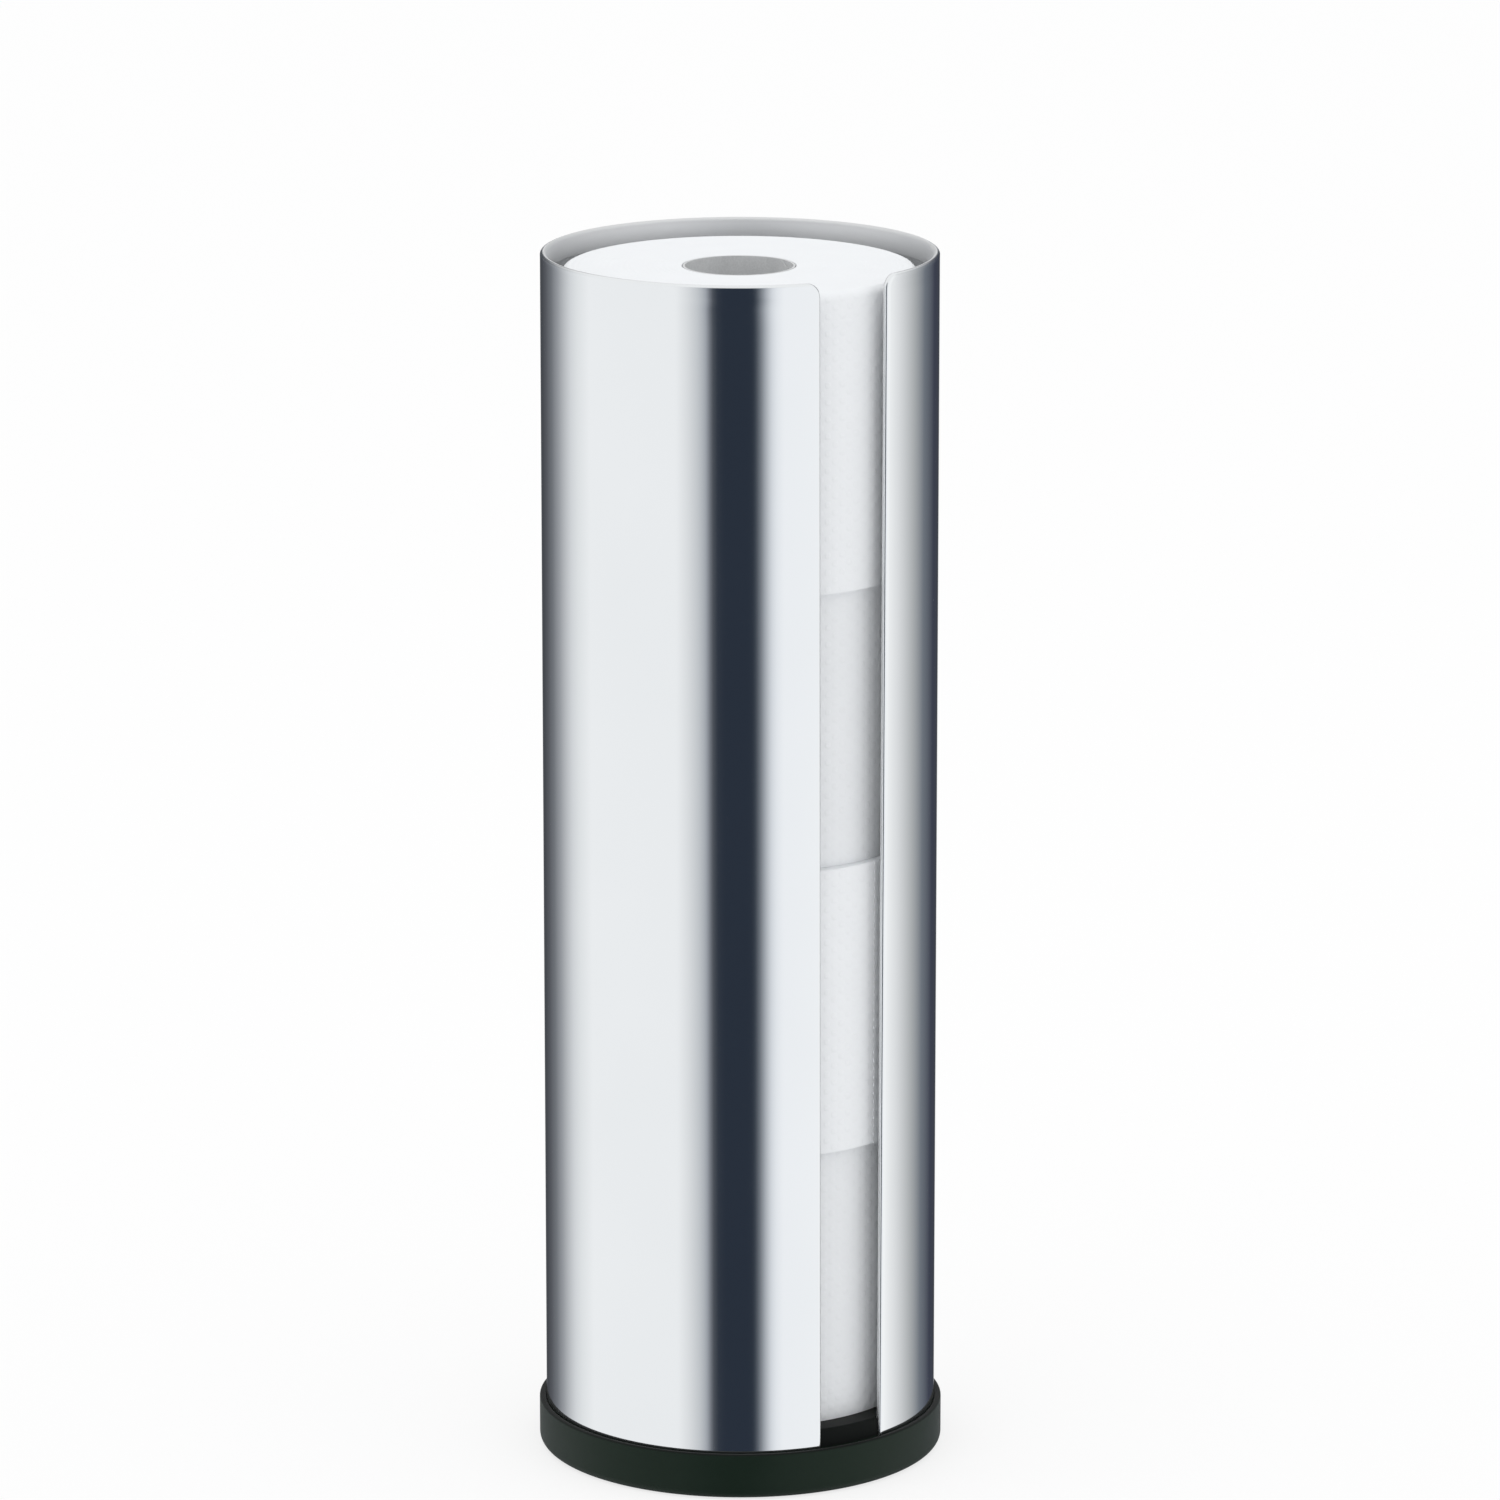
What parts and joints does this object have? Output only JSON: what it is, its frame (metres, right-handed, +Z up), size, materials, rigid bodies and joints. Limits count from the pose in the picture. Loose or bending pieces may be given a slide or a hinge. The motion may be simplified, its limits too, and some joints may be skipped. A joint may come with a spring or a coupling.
{
  "type": "toilet roll holder",
  "caption": "Free-standing store for spare toilet rolls: an open polished steel tube with a full-height slot, on a black moulded base cap, loaded with rolls.",
  "frame": {"origin": "on the ground, under the middle of the tube and its base cap", "axes": "+Z up along the tube, -Y out through the middle of the slot, +X to the right of someone who faces the slot"},
  "size_m": [0.145, 0.145, 0.435],
  "materials": {
    "polished_steel": "polished",
    "black_plastic": "satin",
    "tissue_paper": "matte",
    "core_board": "matte"
  },
  "bodies": {
    "holder": {"steel_tube": "polished_steel", "base_cap": "black_plastic"},
    "roll_1": {"paper_roll_1": "tissue_paper", "cardboard_core_1": "core_board"},
    "roll_2": {"paper_roll_2": "tissue_paper", "cardboard_core_2": "core_board"},
    "roll_3": {"paper_roll_3": "tissue_paper", "cardboard_core_3": "core_board"},
    "roll_4": {"paper_roll_4": "tissue_paper", "cardboard_core_4": "core_board"}
  },
  "joints": [
    {"name": "lift_roll_1", "type": "slide", "parent": "holder", "child": "roll_1", "axis": [0, 0, 1], "range_m": [0, 0.416]},
    {"name": "lift_roll_2", "type": "slide", "parent": "roll_1", "child": "roll_2", "axis": [0, 0, 1], "range_m": [0, 0.316]},
    {"name": "lift_roll_3", "type": "slide", "parent": "roll_2", "child": "roll_3", "axis": [0, 0, 1], "range_m": [0, 0.213]},
    {"name": "lift_roll_4", "type": "slide", "parent": "roll_3", "child": "roll_4", "axis": [0, 0, 1], "range_m": [0, 0.115]}
  ]
}
